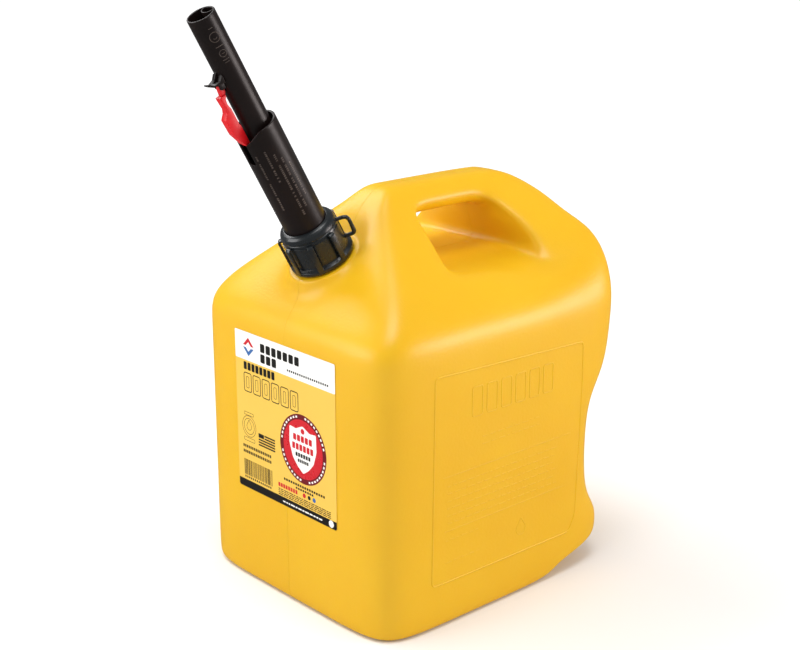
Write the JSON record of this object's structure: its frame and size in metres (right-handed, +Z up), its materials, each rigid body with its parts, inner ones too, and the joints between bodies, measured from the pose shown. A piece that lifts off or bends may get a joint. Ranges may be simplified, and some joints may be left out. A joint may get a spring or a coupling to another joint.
{
  "type": "jerry can",
  "caption": "Moulded fuel can with a hand hole under its top handle, and a leaning self-closing pouring spout held by a screwed collar nut.",
  "frame": {"origin": "centre of the flat foot's width, on the ground under the middle of the can body", "axes": "+Z up; -Y towards the face with the label, the way the spout leans; +X towards the right side wall"},
  "size_m": [0.268, 0.3897, 0.5407],
  "materials": {
    "can_plastic": "satin blow-moulded polyethylene, fine pebble texture",
    "label_film": "printed film",
    "spout_plastic": "moulded, slightly glossy",
    "collar_plastic": "glossy moulded",
    "inner_plastic": "moulded",
    "valve_plastic": "natural acetal",
    "tab_plastic": "satin moulded",
    "seal_rubber": "matt",
    "steel": "plain"
  },
  "bodies": {
    "can": {"can_body": "can_plastic", "front_label": "label_film", "flame_arrestor": "inner_plastic", "arrestor_screen": "steel"},
    "gasket": {"neck_gasket": "seal_rubber"},
    "spout": {"spout_sleeve": "spout_plastic", "stem_spider": "inner_plastic", "valve_stem": "valve_plastic", "valve_plug": "valve_plastic", "plug_seal": "seal_rubber", "guide_bush": "inner_plastic", "nozzle_seal": "seal_rubber", "return_spring": "steel"},
    "collar": {"collar_nut": "collar_plastic"},
    "nozzle": {"nozzle_tube": "spout_plastic", "vent_tube": "inner_plastic", "valve_seat": "valve_plastic", "tab_pin": "steel", "spring_washer": "steel"},
    "lock_tab": {"lock_tab": "tab_plastic"}
  },
  "joints": [
    {"name": "spout_lift_off", "type": "slide", "parent": "can", "child": "gasket", "axis": [0, -0.4924, 0.8704], "range_m": [0, 0.06]},
    {"name": "thread_lift", "type": "slide", "parent": "gasket", "child": "spout", "axis": [0, -0.4924, 0.8704], "range_m": [0, 0.012]},
    {"name": "collar_turn", "type": "hinge", "parent": "spout", "child": "collar", "pos_m": [0, -0.1043, 0.3192], "axis": [0, -0.4924, 0.8704], "range_deg": [0, 721]},
    {"name": "nozzle_push", "type": "slide", "parent": "spout", "child": "nozzle", "axis": [0, 0.4924, -0.8704], "range_m": [0, 0.013], "stiffness_N_per_m": 500, "springref_m": -0.006, "deforming": ["return_spring"]},
    {"name": "tab_press", "type": "hinge", "parent": "nozzle", "child": "lock_tab", "pos_m": [0, -0.20779, 0.47642], "axis": [1, 0, 0], "range_deg": [0, 3], "stiffness_Nm_per_rad": 0.3, "springref_deg": -3.44}
  ],
  "couplings": [
    {"joint": "collar_turn", "follows": "thread_lift", "rad_per_m": 1047.2}
  ]
}
